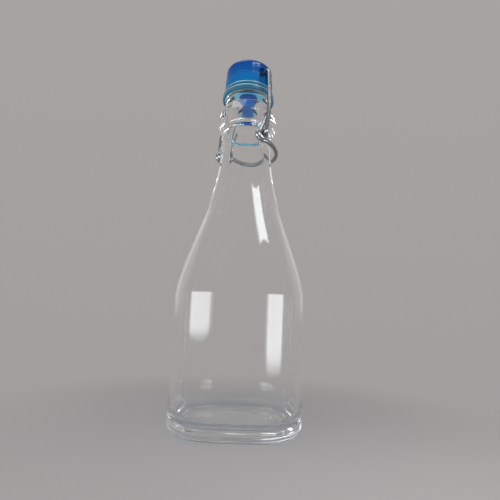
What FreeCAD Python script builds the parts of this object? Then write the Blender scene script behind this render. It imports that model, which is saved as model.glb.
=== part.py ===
import FreeCAD, Part
import math
import os

import Sketcher
from FreeCAD import Placement, Rotation, Vector

# Swing top bottle, standing on its base. Origin at the centre of the base, +Z up through the mouth,
# millimetres. The closure turns about axes that run across the neck, along the direction "across".

SIZES = {
    # glass body: a rounded square in plan, sloping shoulders, a round neck
    "body_width": 73.4,
    "corner_radius": 25.4,
    "straight_height": 44.0,
    "shoulder_start": 73.0,
    "shoulder_bend": 0.79,
    "neck_start": 168.0,
    "neck_radius": 16.6,
    "neck_flat": 0.6,
    "heel_round": 6.0,
    "recess_radius": 22.0,
    "recess_depth": 1.2,
    "body_wall": 3.0,
    "neck_wall": 4.6,
    "floor_thickness": 5.6,
    "floor_round": 7.5,
    # neck finish: the collar that carries the lever, the lip that the gasket seals on, the bore
    "collar_rise": 12.0,
    "collar_height": 15.5,
    "collar_radius": 18.7,
    "collar_low_round": 1.8,
    "collar_slope": 5.0,
    "collar_top_round": 5.0,
    "lip_height": 9.1,
    "lip_radius": 14.9,
    "lip_round": 1.4,
    "mouth_round": 1.4,
    "bore_radius": 9.2,
    "bore_length": 15.0,
    "choke_step": 0.5,
    "pivot_height": 6.5,
    "dimple_depth": 2.1,
    "pin_clearance": 0.06,
    "pin_end_gap": 0.3,
    # gasket: a washer with two ridges and a short skirt round the lip
    "seal_gap": 0.5,
    "flange_thickness": 4.6,
    "gasket_radius": 16.3,
    "ridge_groove_depth": 0.6,
    "ridge_groove_width": 0.7,
    "skirt_drop": 2.4,
    "skirt_clearance": 0.9,
    "skirt_wall": 1.2,
    "stem_fit": 0.05,
    # stopper: a two step head, a stem through the gasket and a plug that holds it
    "head_radius": 15.8,
    "head_step": 0.5,
    "head_step_height": 7.4,
    "head_height": 16.4,
    "head_round": 2.6,
    "stem_radius": 4.6,
    "plug_radius": 5.8,
    "plug_tip_radius": 4.5,
    "plug_length": 8.8,
    "plug_tip_round": 3.0,
    "cross_bore_height": 8.0,
    "notch_width": 7.0,
    "notch_depth": 2.2,
    # the two bent wires
    "closure_turn": 54.0,
    "wire_diameter": 2.5,
    "link_gap": 2.05,
    "link_drop": 14.8,
    "over_centre": 3.5,
    "eye_clearance": 0.35,
    "handle_leave_angle": 60.0,
    "handle_gap": 0.5,
    "handle_dip": 3.0,
    "handle_leg": 1.3,
    "side_gap": 0.35,
    "bail_head_gap": 3.95,
    "bail_kink_height": 19.0,
    "hook_inside": 2.1,
    "bend_radius": 4.0,
    "hook_bend_radius": 1.5,
    "link_bend_radius": 2.2,
}

SHOULDER_STATIONS = 9
LEDGE_SHARE = 0.9
SAME_LEVEL = 1e-3

doc = FreeCAD.newDocument("swing_top_bottle")
sheet = doc.addObject("Spreadsheet::Sheet", "Sizes")
for row, (alias, value) in enumerate(SIZES.items(), start=1):
    sheet.set("A%d" % row, alias)
    sheet.set("B%d" % row, str(value))
    sheet.setAlias("B%d" % row, alias)
doc.recompute()


def size(alias):
    """The value of one cell of the sheet."""
    return float(sheet.get(alias))


def value_of(expression):
    """The value that the document gives an expression of the sheet's cells."""
    found = sheet.evalExpression(expression)
    return float(getattr(found, "Value", found))


def cell(text):
    """An expression of aliases, with each alias written as a cell of the sheet."""
    words = text.split()
    return " ".join("Sizes." + word if word in SIZES else word for word in words)


def origin_plane(body, role):
    """One of a body's own origin planes."""
    for feature in body.Origin.OriginFeatures:
        if feature.Role == role:
            return feature
    raise ValueError(role)


def new_body(label):
    body = doc.addObject("PartDesign::Body", label)
    body.Label = label
    return body


def new_sketch(body, name, role, level="0"):
    """An empty sketch on an origin plane of its body, moved along the plane's normal by level."""
    sketch = body.newObject("Sketcher::SketchObject", name)
    sketch.AttachmentSupport = [(origin_plane(body, role), "")]
    sketch.MapMode = "FlatFace"
    if level != "0":
        sketch.setExpression("AttachmentOffset.Base.z", level)
    return sketch


def bind(sketch, constraint, expression):
    """Add a dimension to a sketch and tie it to the sheet."""
    index = sketch.addConstraint(constraint)
    sketch.setExpression("Constraints[%d]" % index, expression)


def pin_point(sketch, edge, end, across, up):
    """Hold one end of an edge at a place given by two expressions."""
    if across == "0":
        sketch.addConstraint(Sketcher.Constraint("PointOnObject", edge, end, -2))
    else:
        bind(sketch, Sketcher.Constraint("DistanceX", -1, 1, edge, end, value_of(across)), across)
    if up == "0":
        sketch.addConstraint(Sketcher.Constraint("PointOnObject", edge, end, -1))
    else:
        bind(sketch, Sketcher.Constraint("DistanceY", -1, 1, edge, end, value_of(up)), up)


def outline_sketch(body, name, corners):
    """A closed outline of straight lines in the X and Z plane, each corner given by two expressions."""
    sketch = new_sketch(body, name, "XZ_Plane")
    places = [Vector(value_of(across), value_of(up), 0) for across, up in corners]
    count = len(places)
    for i in range(count):
        sketch.addGeometry(Part.LineSegment(places[i], places[(i + 1) % count]), False)
    for i in range(count):
        sketch.addConstraint(Sketcher.Constraint("Coincident", i, 2, (i + 1) % count, 1))
    for i, (across, up) in enumerate(corners):
        pin_point(sketch, i, 1, across, up)
    return sketch


def rounded_square_sketch(body, name, level, half, flat):
    """A square with round corners at a height: half is the half width, flat half the straight part of a side."""
    sketch = new_sketch(body, name, "XY_Plane", level)
    half_now = value_of(half)
    flat_now = value_of(flat)
    radius_now = half_now - flat_now
    centres = [Vector(flat_now * sx, flat_now * sy, 0) for sx, sy in ((1, 1), (-1, 1), (-1, -1), (1, -1))]
    for i, centre in enumerate(centres):
        start = i * math.pi / 2
        circle = Part.Circle(centre, Vector(0, 0, 1), radius_now)
        sketch.addGeometry(Part.ArcOfCircle(circle, start, start + math.pi / 2), False)
    for i in range(4):
        turn = Rotation(Vector(0, 0, 1), 90 * i)
        first = turn.multVec(Vector(flat_now, half_now, 0))
        second = turn.multVec(Vector(-flat_now, half_now, 0))
        sketch.addGeometry(Part.LineSegment(first, second), False)
    for i in range(4):
        side = 4 + i
        sketch.addConstraint(Sketcher.Constraint("Tangent", i, 2, side, 1))
        sketch.addConstraint(Sketcher.Constraint("Tangent", side, 2, (i + 1) % 4, 1))
    for i in range(3):
        sketch.addConstraint(Sketcher.Constraint("Equal", i, i + 1))
    sketch.addConstraint(Sketcher.Constraint("Symmetric", 0, 3, 2, 3, -1, 1))
    sketch.addConstraint(Sketcher.Constraint("Symmetric", 1, 3, 3, 3, -1, 1))
    sketch.addConstraint(Sketcher.Constraint("Horizontal", 0, 3, 1, 3))
    bind(sketch, Sketcher.Constraint("DistanceX", 1, 3, 0, 3, 2 * flat_now), "2 * (%s)" % flat)
    bind(sketch, Sketcher.Constraint("DistanceY", 3, 3, 0, 3, 2 * flat_now), "2 * (%s)" % flat)
    bind(sketch, Sketcher.Constraint("Radius", 0, radius_now), "%s - (%s)" % (half, flat))
    return sketch


def edges_at(shape, level, beyond=0.0, within=math.inf):
    """Names of the edges that lie flat at a height and reach to between two distances from the axis."""
    names = []
    for i, edge in enumerate(shape.Edges, start=1):
        box = edge.BoundBox
        if abs(box.ZMin - level) > SAME_LEVEL or abs(box.ZMax - level) > SAME_LEVEL:
            continue
        reach = max(Vector(v.X, v.Y, 0).Length for v in edge.Vertexes)
        if beyond < reach < within:
            names.append("Edge%d" % i)
    return names


def round_edges(body, name, names, radius):
    """A fillet on named edges of the body's tip."""
    base = body.Tip
    fillet = body.newObject("PartDesign::Fillet", name)
    fillet.Base = (base, names)
    fillet.setExpression("Radius", radius)
    doc.recompute()


def must_change(body, before, grow):
    """Stop if a feature has not added or removed material."""
    after = body.Shape.Volume
    if grow and after <= before or not grow and after >= before:
        raise RuntimeError("%s: a feature changed nothing" % body.Label)
    return after


# Bottle: one piece of clear glass, blown in a mould
bottle = new_body("bottle")
body_half = cell("body_width / 2")
body_flat = cell("body_width / 2 - corner_radius")
neck_half = cell("neck_radius")
neck_flat = cell("neck_flat / 2")
straight = cell("straight_height")
neck_start = cell("neck_start")
collar_bottom = cell("neck_start + collar_rise")
hollow_top = collar_bottom + cell(" + collar_low_round")

base_sketch = rounded_square_sketch(bottle, "base_outline", "0", body_half, body_flat)
base_pad = bottle.newObject("PartDesign::Pad", "straight_body")
base_pad.Profile = base_sketch
base_pad.setExpression("Length", straight)
doc.recompute()
heel_edges = edges_at(bottle.Shape, 0.0)
round_edges(bottle, "heel", heel_edges, cell("heel_round"))


def shoulder_sections(name, thin_body, thin_neck):
    """Sections from the straight body up into the collar. The thin values move each section inwards."""
    stations = [(straight, 0.0), (cell("( straight_height + shoulder_start ) / 2"), 0.0)]
    for i in range(SHOULDER_STATIONS + 1):
        along = i / SHOULDER_STATIONS
        level = cell("shoulder_start + ( neck_start - shoulder_start ) *") + " %.6f" % along
        stations.append((level, along))
    stations.append(("(%s + %s) / 2" % (neck_start, hollow_top), 1.0))
    stations.append((hollow_top, 1.0))
    sketches = []
    for number, (level, along) in enumerate(stations):
        bend_along = "(%.6f ^ %s)" % (along, cell("shoulder_bend"))
        wide = "((1 - %s) ^ 2 * (1 + 2 * %s))" % (bend_along, bend_along)
        thin = "(%s + (%s - %s) * (1 - %s))" % (thin_body, thin_neck, thin_body, wide)
        half = "(%s + (%s - %s) * %s - %s)" % (neck_half, body_half, neck_half, wide, thin)
        flat = "((%s) * %s + %s * (1 - %s))" % (body_flat, wide, neck_flat, wide)
        sketches.append(rounded_square_sketch(bottle, "%s_%d" % (name, number), level, half, flat))
    return sketches


def loft(kind, name, sketches):
    feature = bottle.newObject("PartDesign::" + kind, name)
    feature.Profile = sketches[0]
    feature.Sections = sketches[1:]
    feature.Ruled = False
    doc.recompute()
    return feature


volume = bottle.Shape.Volume
loft("AdditiveLoft", "shoulders", shoulder_sections("outside", "0", "0"))
volume = must_change(bottle, volume, True)

collar_top = collar_bottom + cell(" + collar_height")
lip_top = collar_top + cell(" + lip_height")
slope_start = collar_top + cell(" - collar_slope")
finish_sketch = outline_sketch(bottle, "finish_outline", [
    ("0", neck_start),
    (cell("neck_radius - neck_wall / 2"), neck_start),
    (cell("neck_radius - neck_wall / 2"), collar_bottom),
    (cell("collar_radius"), collar_bottom),
    (cell("collar_radius"), slope_start),
    (cell("lip_radius"), collar_top),
    (cell("lip_radius"), lip_top),
    ("0", lip_top),
])
finish = bottle.newObject("PartDesign::Revolution", "finish")
finish.Profile = finish_sketch
finish.ReferenceAxis = (finish_sketch, ["V_Axis"])
finish.Angle = 360
doc.recompute()
volume = must_change(bottle, volume, True)
# Two blind dimples in the collar, one at each end of the pivot axis, for the ends of the lever
turn = Rotation(Vector(0, 0, 1), -size("closure_turn"))
across = turn.multVec(Vector(1, 0, 0))
pivot = Vector(0, 0, value_of(collar_bottom) + size("pivot_height"))
OUT_OF_FACE = 1.0


def drill(body, name, start, direction, radius, depth):
    """A round hole in the body's tip, from a point along a direction."""
    before = body.Shape.Volume
    hole = body.newObject("PartDesign::SubtractiveCylinder", name)
    hole.AttachmentSupport = [(origin_plane(body, "XY_Plane"), "")]
    hole.MapMode = "FlatFace"
    hole.AttachmentOffset = Placement(start, Rotation(Vector(0, 0, 1), direction))
    hole.setExpression("Radius", radius)
    hole.setExpression("Height", depth)
    doc.recompute()
    must_change(body, before, False)


pin_hole_radius = cell("wire_diameter / 2 + pin_clearance")
dimple_floor = size("collar_radius") - size("dimple_depth")
for name, side in (("dimple_right", 1), ("dimple_left", -1)):
    drill(bottle, name, pivot + across * dimple_floor * side, across * side, pin_hole_radius,
          cell("dimple_depth") + " + %.1f" % OUT_OF_FACE)

collar_reach = (size("collar_radius") + size("neck_radius")) / 2
low_ledge = cell("( collar_radius - neck_radius ) * ") + " %.2f" % LEDGE_SHARE
round_edges(bottle, "collar_low_edge", edges_at(bottle.Shape, value_of(collar_bottom), beyond=collar_reach),
            "min(%s; %s)" % (cell("collar_low_round"), low_ledge))
round_edges(bottle, "collar_top_edge", edges_at(bottle.Shape, value_of(slope_start), beyond=collar_reach),
            cell("collar_top_round"))
round_edges(bottle, "lip_edge", edges_at(bottle.Shape, value_of(lip_top)), cell("lip_round"))
volume = bottle.Shape.Volume

# The hollow: a straight part with a round floor, the inside of the shoulders, then the bore of the mouth
inside_half = cell("body_width / 2 - body_wall")
hollow_sketch = rounded_square_sketch(bottle, "hollow_outline", straight, inside_half, body_flat)
hollow = bottle.newObject("PartDesign::Pocket", "straight_hollow")
hollow.Profile = hollow_sketch
hollow.setExpression("Length", cell("straight_height - floor_thickness"))
doc.recompute()
volume = must_change(bottle, volume, False)
loft("SubtractiveLoft", "shoulder_hollow", shoulder_sections("inside", cell("body_wall"), cell("neck_wall")))
volume = must_change(bottle, volume, False)
round_edges(bottle, "floor_edge", edges_at(bottle.Shape, size("floor_thickness")), cell("floor_round"))
volume = bottle.Shape.Volume

choke_radius = cell("neck_radius - neck_wall - choke_step")
bore_sketch = outline_sketch(bottle, "bore_outline", [
    ("0", neck_start),
    (choke_radius, neck_start),
    (choke_radius, hollow_top),
    (cell("bore_radius"), lip_top + " - " + cell("bore_length")),
    (cell("bore_radius"), lip_top),
    ("0", lip_top),
])
bore = bottle.newObject("PartDesign::Groove", "bore")
bore.Profile = bore_sketch
bore.ReferenceAxis = (bore_sketch, ["V_Axis"])
bore.Angle = 360
doc.recompute()
must_change(bottle, volume, False)
mouth_reach = (size("bore_radius") + size("lip_radius")) / 2
round_edges(bottle, "mouth_edge", edges_at(bottle.Shape, value_of(lip_top), within=mouth_reach), cell("mouth_round"))
volume = bottle.Shape.Volume

recess_sketch = new_sketch(bottle, "recess_outline", "XY_Plane")
recess_sketch.addGeometry(Part.Circle(Vector(0, 0, 0), Vector(0, 0, 1), size("recess_radius")), False)
recess_sketch.addConstraint(Sketcher.Constraint("Coincident", 0, 3, -1, 1))
bind(recess_sketch, Sketcher.Constraint("Radius", 0, size("recess_radius")), cell("recess_radius"))
recess = bottle.newObject("PartDesign::Pocket", "base_recess")
recess.Profile = recess_sketch
recess.Reversed = True
recess.setExpression("Length", cell("recess_depth"))
doc.recompute()
volume = must_change(bottle, volume, False)


# Gasket: one soft washer, stretched over the stopper's plug. Local origin at the bottom of its skirt
gasket = new_body("gasket")
gasket_hole = cell("stem_radius + stem_fit")
flange_bottom = cell("skirt_drop")
flange_top = cell("skirt_drop + flange_thickness")
flange_middle = cell("skirt_drop + flange_thickness / 2")
half_groove = cell("ridge_groove_width / 2")
skirt_inside = cell("lip_radius + skirt_clearance")
skirt_outside = cell("lip_radius + skirt_clearance + skirt_wall")
gasket_sketch = outline_sketch(gasket, "gasket_outline", [
    (gasket_hole, flange_bottom),
    (skirt_inside, flange_bottom),
    (skirt_inside, "0"),
    (skirt_outside, "0"),
    (skirt_outside, flange_middle + " - " + half_groove),
    (cell("gasket_radius - ridge_groove_depth"), flange_middle + " - " + half_groove),
    (cell("gasket_radius - ridge_groove_depth"), flange_middle + " + " + half_groove),
    (cell("gasket_radius"), flange_middle + " + " + half_groove),
    (cell("gasket_radius"), flange_top),
    (gasket_hole, flange_top),
])
gasket_turned = gasket.newObject("PartDesign::Revolution", "gasket_ring")
gasket_turned.Profile = gasket_sketch
gasket_turned.ReferenceAxis = (gasket_sketch, ["V_Axis"])
gasket_turned.Angle = 360
doc.recompute()
seal_height = value_of(lip_top) + size("seal_gap")
gasket.Placement = Placement(Vector(0, 0, seal_height - size("skirt_drop")), turn)

# Stopper: one moulded piece. Local origin at the tip of its plug, local X along the cross bore
stopper = new_body("stopper")
stem_top = cell("plug_length + flange_thickness")
stopper_sketch = outline_sketch(stopper, "stopper_outline", [
    ("0", "0"),
    (cell("plug_tip_radius"), "0"),
    (cell("plug_radius"), cell("plug_length")),
    (cell("stem_radius"), cell("plug_length")),
    (cell("stem_radius"), stem_top),
    (cell("head_radius"), stem_top),
    (cell("head_radius"), stem_top + cell(" + head_step_height")),
    (cell("head_radius - head_step"), stem_top + cell(" + head_step_height")),
    (cell("head_radius - head_step"), stem_top + cell(" + head_height")),
    ("0", stem_top + cell(" + head_height")),
])
stopper_turned = stopper.newObject("PartDesign::Revolution", "stopper_form")
stopper_turned.Profile = stopper_sketch
stopper_turned.ReferenceAxis = (stopper_sketch, ["V_Axis"])
stopper_turned.Angle = 360
doc.recompute()
head_under = value_of(stem_top)
round_edges(stopper, "head_top_edge", edges_at(stopper.Shape, head_under + size("head_height")), cell("head_round"))
round_edges(stopper, "plug_tip_edge", edges_at(stopper.Shape, 0.0), cell("plug_tip_round"))
cross_bore_at = head_under + size("cross_bore_height")
half_bore = size("head_radius") + OUT_OF_FACE
drill(stopper, "cross_bore", Vector(-half_bore, 0, cross_bore_at), Vector(1, 0, 0), pin_hole_radius,
      "2 * (%s + %.1f)" % (cell("head_radius"), OUT_OF_FACE))
for name, side in (("notch_right", 1), ("notch_left", -1)):
    notch_floor = (size("head_radius") - size("notch_depth")) * side
    drill(stopper, name, Vector(notch_floor, 0, cross_bore_at), Vector(side, 0, 0), cell("notch_width / 2"),
          cell("notch_depth") + " + %.1f" % OUT_OF_FACE)
    slot = stopper.newObject("PartDesign::SubtractiveBox", name + "_slot")
    slot.AttachmentSupport = [(origin_plane(stopper, "XY_Plane"), "")]
    slot.MapMode = "FlatFace"
    slot_corner = Vector(min(notch_floor, notch_floor + side * (size("notch_depth") + OUT_OF_FACE)),
                         -size("notch_width") / 2, head_under)
    slot.AttachmentOffset = Placement(slot_corner, Rotation())
    slot.setExpression("Length", cell("notch_depth") + " + %.1f" % OUT_OF_FACE)
    slot.setExpression("Width", cell("notch_width"))
    slot.setExpression("Height", cell("cross_bore_height"))
    doc.recompute()
plug_tip_height = seal_height - size("plug_length")
stopper.Placement = Placement(Vector(0, 0, plug_tip_height), turn)

# Places that both wires share, in axes turned with the closure: X across, Y to the handle's side, Z up
wire = size("wire_diameter")
eye_side = size("collar_radius") + size("link_gap") + wire / 2
eye_ring = wire + size("eye_clearance")
eye_offset = Vector(0, -size("over_centre"), -size("link_drop"))
cross_bore = Vector(0, 0, plug_tip_height + cross_bore_at)


def bent_wire(points, bends):
    """A round wire along straight runs, with an arc of a given radius at each point between them."""
    edges = []
    start = points[0]
    for i in range(1, len(points) - 1):
        back = (points[i - 1] - points[i]).normalize()
        ahead = (points[i + 1] - points[i]).normalize()
        half_angle = back.getAngle(ahead) / 2
        reach = bends[i - 1] / math.tan(half_angle)
        bisector = (back + ahead).normalize()
        centre = points[i] + bisector * (bends[i - 1] / math.sin(half_angle))
        first = points[i] + back * reach
        last = points[i] + ahead * reach
        middle = centre - bisector * bends[i - 1]
        edges.append(Part.LineSegment(start, first).toShape())
        edges.append(Part.Arc(first, middle, last).toShape())
        start = last
    edges.append(Part.LineSegment(start, points[-1]).toShape())
    path = Part.Wire(edges)
    section = Part.Wire([Part.makeCircle(wire / 2, points[0], points[1] - points[0])])
    return path.makePipeShell([section], True, False)


def add_wire(label, shape, placement):
    """A bent wire follows a path in space, so its shape is set here."""
    feature = doc.addObject("Part::Feature", label)
    feature.Label = label
    feature.Shape = shape
    feature.Placement = placement
    return feature


# Bail: one steel wire through the cross bore, down both sides, hooked into the lever's eyes.
# It is flat, drawn in its own X and Z from the middle between the eyes, and leans with the over centre offset
bail_side = eye_side + wire + size("side_gap")
bail_top = size("head_radius") + size("bail_head_gap") + wire / 2
hook_end = eye_side - size("hook_inside")
bail_rise = cross_bore - pivot - eye_offset
bail_length = bail_rise.Length
bail_half = [
    Vector(hook_end, 0, 0),
    Vector(bail_side, 0, 0),
    Vector(bail_side, 0, size("bail_kink_height")),
    Vector(bail_top, 0, bail_length),
]
bail_points = bail_half + [Vector(-point.x, 0, point.z) for point in reversed(bail_half)]
bend = size("bend_radius")
hook_bend = size("hook_bend_radius")
bail_shape = bent_wire(bail_points, [hook_bend, bend, bend, bend, bend, hook_bend])
bail_lean = math.degrees(math.atan2(bail_rise.y, bail_rise.z))
bail_turn = turn * Rotation(Vector(1, 0, 0), -bail_lean)
bail = add_wire("bail_wire", bail_shape, Placement(pivot + turn.multVec(eye_offset), bail_turn))

# Lever: one steel wire. Both ends turn in the dimples, each side has an eye, and a U round the neck is the handle.
# Its local origin is the middle of the pivot axis
pin_end = dimple_floor + size("pin_end_gap")
link_end = eye_offset * (1 - eye_ring / eye_offset.Length)
leave = math.radians(size("handle_leave_angle"))
handle_start = eye_offset + Vector(eye_side, eye_ring * math.cos(leave), -eye_ring * math.sin(leave))
handle_reach = size("neck_radius") + size("handle_gap") + wire / 2
handle_half = [handle_start, Vector(eye_side, handle_reach, handle_start.z - size("handle_dip"))]
handle_points = handle_half + [Vector(-point.x, point.y, point.z) for point in reversed(handle_half)]
handle_bend = handle_reach - handle_start.y - size("handle_leg")
lever_shape = bent_wire(handle_points, [handle_bend, handle_bend])
for side in (1, -1):
    eye_centre = eye_offset + Vector(eye_side * side, 0, 0)
    eye = Part.makeTorus(eye_ring, wire / 2, eye_centre, Vector(1, 0, 0))
    link = bent_wire([
        Vector(pin_end * side, 0, 0),
        Vector(eye_side * side, 0, 0),
        link_end + Vector(eye_side * side, 0, 0),
    ], [size("link_bend_radius")])
    lever_shape = lever_shape.fuse([eye, link])
lever = add_wire("lever_wire", lever_shape, Placement(pivot, turn))

doc.recompute()
pieces = [bottle, stopper, gasket, bail, lever]
for item in doc.Objects:
    if "Invalid" in item.State or "Error" in item.State:
        raise RuntimeError("%s failed: %s" % (item.Label, item.State))
for piece in pieces:
    if piece.Shape.isNull() or not piece.Shape.isValid() or len(piece.Shape.Solids) != 1:
        raise RuntimeError("%s is not one valid solid" % piece.Label)

os.makedirs("parts", exist_ok=True)
for piece in pieces:
    piece.Shape.exportStep("parts/%s.step" % piece.Label)
    box = piece.Shape.BoundBox
    print("%-12s volume %9.1f  z %7.2f to %7.2f" % (piece.Label, piece.Shape.Volume, box.ZMin, box.ZMax))
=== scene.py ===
import math

import bmesh
import bpy
from mathutils import Matrix, Vector


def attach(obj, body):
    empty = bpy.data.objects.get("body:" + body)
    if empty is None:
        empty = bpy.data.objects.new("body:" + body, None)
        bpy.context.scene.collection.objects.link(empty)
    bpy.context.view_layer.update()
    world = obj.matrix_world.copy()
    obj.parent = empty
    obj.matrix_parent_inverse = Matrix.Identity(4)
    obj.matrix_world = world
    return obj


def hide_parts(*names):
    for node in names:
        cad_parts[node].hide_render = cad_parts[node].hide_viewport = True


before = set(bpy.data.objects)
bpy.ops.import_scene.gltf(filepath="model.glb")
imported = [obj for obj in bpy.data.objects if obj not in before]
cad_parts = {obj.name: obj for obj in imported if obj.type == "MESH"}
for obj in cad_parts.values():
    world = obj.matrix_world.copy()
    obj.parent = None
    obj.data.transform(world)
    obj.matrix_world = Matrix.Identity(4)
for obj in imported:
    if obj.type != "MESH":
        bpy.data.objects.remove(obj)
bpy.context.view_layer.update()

# Bottle: one piece of clear glass, blown in a mould. A rounded square body on a thick heel, sloping
# shoulders, a round neck, and a collar under the lip with two blind dimples in which the lever's ends turn.
MM = 0.001
BODY_HALF = 36.7
BODY_FLAT = 11.3
FOOT_FLARE = 0.45
FOOT_FLARE_HEIGHT = 16.0
WAIST = 0.4
HEEL_ROUND = 6.0
RECESS_RADIUS = 22.0
RECESS_DEPTH = 1.2
FLOOR_HEIGHT = 5.6
FLOOR_ROUND = 7.5
BODY_WALL = 3.0
NECK_WALL = 4.6
SHOULDER_START = 73.0
SHOULDER_BEND = 0.79
NECK_START = 168.0
NECK_RADIUS = 16.6
NECK_FLAT = 0.3
COLLAR_BOTTOM = 180.0
COLLAR_TOP = 197.0
COLLAR_SHOULDER = 196.0
COLLAR_SHOULDER_RADIUS = 17.0
COLLAR_SLOPE_START = 189.0
COLLAR_RADIUS = 18.7
COLLAR_LOW_END = 178.6
COLLAR_LOW_START = 182.0
COLLAR_LOW_ROUND = 5.0
COLLAR_TOP_ROUND = 12.0
LIP_TOP = 204.6
LIP_RADIUS = 14.9
LIP_ROUND = 1.4
SOFT_SHOULDER = 1.5
SOFT_CORNER = 0.6
BORE_BLEND = 12.0
BORE_RADIUS = 9.2
BORE_BOTTOM = 189.6
PIVOT_HEIGHT = 186.5
DIMPLE_FLOOR = 16.6
PIN_HOLE_RADIUS = 1.31
CLOSURE_TURN = math.radians(54.0)
BOTTLE_POINTS_ROUND = 240
CORNER_STEPS = 14
BODY_STEPS = 32
SHOULDER_STEPS = 72
INSIDE_STEPS = 28
FLOOR_RINGS = (0.75, 0.5, 0.25, 0)
FLAT_TURN = 0.2
CUT_REACH = 1.0
MERGE_REACH = 1e-6
SMOOTH_ANGLE = math.radians(35.0)


def across(side, front, height):
    """A place in the closure's own axes: along the pivot axis, towards the handle, and up, in metres."""
    c, s = math.cos(CLOSURE_TURN), math.sin(CLOSURE_TURN)
    return Vector((side * c + front * s, -side * s + front * c, height)) * MM


def rounded(corners, steps=8):
    """An outline of (across, up, radius) corners, each replaced by an arc of its radius."""
    points = []
    for i, (x, y, radius) in enumerate(corners):
        here = Vector((x, y))
        if radius == 0 or i in (0, len(corners) - 1):
            points.append(here)
            continue
        back = (Vector(corners[i - 1][:2]) - here).normalized()
        ahead = (Vector(corners[i + 1][:2]) - here).normalized()
        half_angle = back.angle(ahead) / 2
        inwards = (back + ahead).normalized()
        centre = here + inwards * (radius / math.sin(half_angle))
        first = here + back * (radius / math.tan(half_angle)) - centre
        last = here + ahead * (radius / math.tan(half_angle)) - centre
        sweep = first.angle_signed(last)
        for k in range(steps + 1):
            turn = Matrix.Rotation(-sweep * k / steps, 2)
            points.append(centre + turn @ first)
    return points


def shoulder(height):
    """How much of the body's width is left at a height: 1 on the body, 0 at the neck."""
    t = min(max((height - SHOULDER_START) / (NECK_START - SHOULDER_START), 0.0), 1.0)
    u = t ** SHOULDER_BEND
    return (1 - u) ** 2 * (1 + 2 * u)


def outside(height):
    """The half width and the half flat of the outer skin at a height on the body, shoulders or neck."""
    wide = shoulder(height)
    half = NECK_RADIUS + (BODY_HALF - NECK_RADIUS) * wide
    if height < SHOULDER_START:
        low = max(0.0, 1 - (height - HEEL_ROUND) / FOOT_FLARE_HEIGHT)
        middle = math.sin(math.pi * (height - HEEL_ROUND) / (SHOULDER_START - HEEL_ROUND))
        half += FOOT_FLARE * low ** 2 - WAIST * middle ** 2
    return half, BODY_FLAT * wide + NECK_FLAT * (1 - wide)


def inside(height):
    """The half width and the half flat of the inner skin."""
    half, flat = outside(height)
    wide = shoulder(height)
    return half - BODY_WALL - (NECK_WALL - BODY_WALL) * (1 - wide), flat


def spaced(low, high, count):
    """Evenly spaced values from one limit to the other, both included."""
    return [low + (high - low) * i / count for i in range(count + 1)]


def bottle_stations():
    """Rings of the whole skin: under the base, up the outside, over the lip, down the inside to the floor."""
    rings = []
    recess = rounded([(0, RECESS_DEPTH, 0), (RECESS_RADIUS - RECESS_DEPTH, RECESS_DEPTH, RECESS_DEPTH),
                      (RECESS_RADIUS, 0, RECESS_DEPTH), (RECESS_RADIUS + 2 * RECESS_DEPTH, 0, 0)])
    rings += [(p.x, 0, p.y) for p in recess]
    foot_half, foot_flat = outside(HEEL_ROUND)
    for angle in spaced(0, math.pi / 2, CORNER_STEPS):
        rings.append((foot_half - HEEL_ROUND * (1 - math.sin(angle)), foot_flat,
                      HEEL_ROUND * (1 - math.cos(angle))))
    rings += [(*outside(z), z) for z in spaced(HEEL_ROUND, SHOULDER_START, BODY_STEPS)[1:]]
    rings += [(*outside(z), z) for z in spaced(SHOULDER_START, NECK_START, SHOULDER_STEPS)[1:]]
    finish = rounded([
        (NECK_RADIUS, NECK_START, 0), (NECK_RADIUS, COLLAR_LOW_END, COLLAR_LOW_ROUND),
        (COLLAR_RADIUS, COLLAR_LOW_START, COLLAR_LOW_ROUND),
        (COLLAR_RADIUS, COLLAR_SLOPE_START, COLLAR_TOP_ROUND),
        (COLLAR_SHOULDER_RADIUS, COLLAR_SHOULDER, SOFT_SHOULDER), (LIP_RADIUS, COLLAR_TOP, SOFT_CORNER),
        (LIP_RADIUS, LIP_TOP, LIP_ROUND), (BORE_RADIUS, LIP_TOP, LIP_ROUND),
        (BORE_RADIUS, BORE_BOTTOM, BORE_BLEND), (NECK_RADIUS - NECK_WALL, COLLAR_BOTTOM, BORE_BLEND),
        (NECK_RADIUS - NECK_WALL, NECK_START, 0)])
    rings += [(p.x, 0, p.y) for p in finish[1:]]
    rings += [(*inside(z), z) for z in spaced(NECK_START, SHOULDER_START, SHOULDER_STEPS)[1:]]
    floor_start = FLOOR_HEIGHT + FLOOR_ROUND
    rings += [(*inside(z), z) for z in spaced(SHOULDER_START, floor_start, INSIDE_STEPS)[1:]]
    floor_half, floor_flat = inside(floor_start)
    for angle in spaced(0, math.pi / 2, CORNER_STEPS)[1:]:
        rings.append((floor_half - FLOOR_ROUND * (1 - math.cos(angle)), floor_flat,
                      floor_start - FLOOR_ROUND * math.sin(angle)))
    edge = floor_half - FLOOR_ROUND
    rings += [(edge * share, floor_flat * share, FLOOR_HEIGHT) for share in FLOOR_RINGS]
    return rings


def put(tree, kind, sockets, **settings):
    """A new node, with its settings, and its sockets filled with values or joined to other outputs."""
    made = tree.nodes.new(kind)
    for name, value in settings.items():
        setattr(made, name, value)
    for name, value in sockets.items():
        if isinstance(value, bpy.types.NodeSocket):
            tree.links.new(value, made.inputs[name])
        else:
            made.inputs[name].default_value = value
    return made


def math_node(tree, operation, *values):
    """The output of a new Math node."""
    return put(tree, "ShaderNodeMath", dict(enumerate(values)), operation=operation).outputs[0]


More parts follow.
